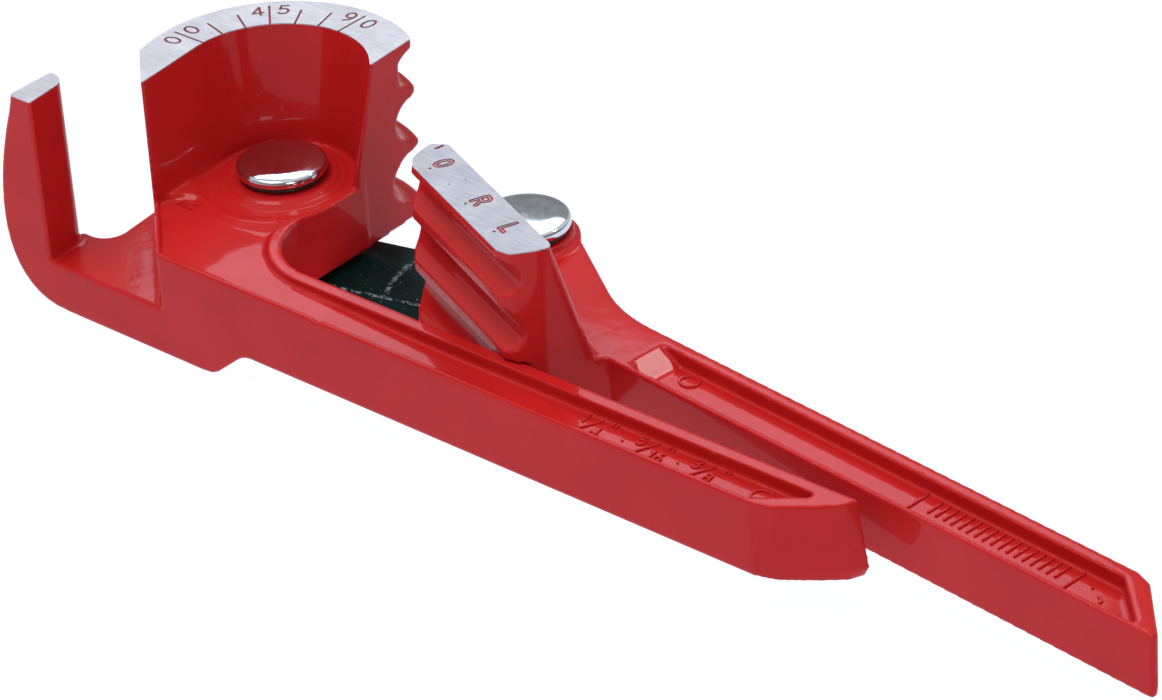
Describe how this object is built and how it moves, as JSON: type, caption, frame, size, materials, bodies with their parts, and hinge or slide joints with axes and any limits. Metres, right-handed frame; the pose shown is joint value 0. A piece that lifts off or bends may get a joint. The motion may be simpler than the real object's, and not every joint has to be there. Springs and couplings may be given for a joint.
{
  "type": "mini tube bender",
  "caption": "Hand tube bender with a grooved forming wheel, a tube hook, a grooved shoe on a second handle and a link plate that joins them by riveted pins.",
  "frame": {"origin": "on the wheel pivot axis, in the plane that the foot and both rivet tails rest on", "axes": "+X from the wheel axis along the forming handle to its free end, +Z along the pivot axes, from the link plate side to the milled scale faces, +Y away from the forming handle's straight near face"},
  "size_m": [0.2179, 0.0539, 0.0379],
  "materials": {
    "red_enamel": "glossy red baked enamel on a casting, bare milled faces on top of the wheel, hook and shoe",
    "pin_chrome": "bright plated rivet heads",
    "black_steel": "satin black oxide plate, scuffed where the castings rub",
    "black_washer": "satin black"
  },
  "bodies": {
    "forming": {"forming_handle": "red_enamel"},
    "link": {"link_plate": "black_steel", "wheel_pin": "pin_chrome", "wheel_head_washer": "black_washer", "wheel_thrust_washer": "black_washer", "shoe_thrust_washer": "black_washer"},
    "pin": {"shoe_pin": "pin_chrome", "shoe_head_washer": "black_washer"},
    "shoe": {"shoe_handle": "red_enamel"}
  },
  "joints": [
    {"name": "link_pivot", "type": "hinge", "parent": "forming", "child": "link", "pos_m": [0, 0, 0.003], "axis": [0, 0, 1], "range_deg": [0, 166]},
    {"name": "shoe_pin_turn", "type": "hinge", "parent": "link", "child": "pin", "pos_m": [0.04296, 0.01039, 0.003], "axis": [0, 0, 1], "range_deg": [-50.5, 0]},
    {"name": "shoe_pivot", "type": "hinge", "parent": "pin", "child": "shoe", "pos_m": [0.04296, 0.01039, 0.012], "axis": [0, 0, 1], "range_deg": [0, 110]}
  ],
  "couplings": [
    {"joint": "shoe_pin_turn", "follows": "link_pivot", "ratio": -0.3036}
  ]
}
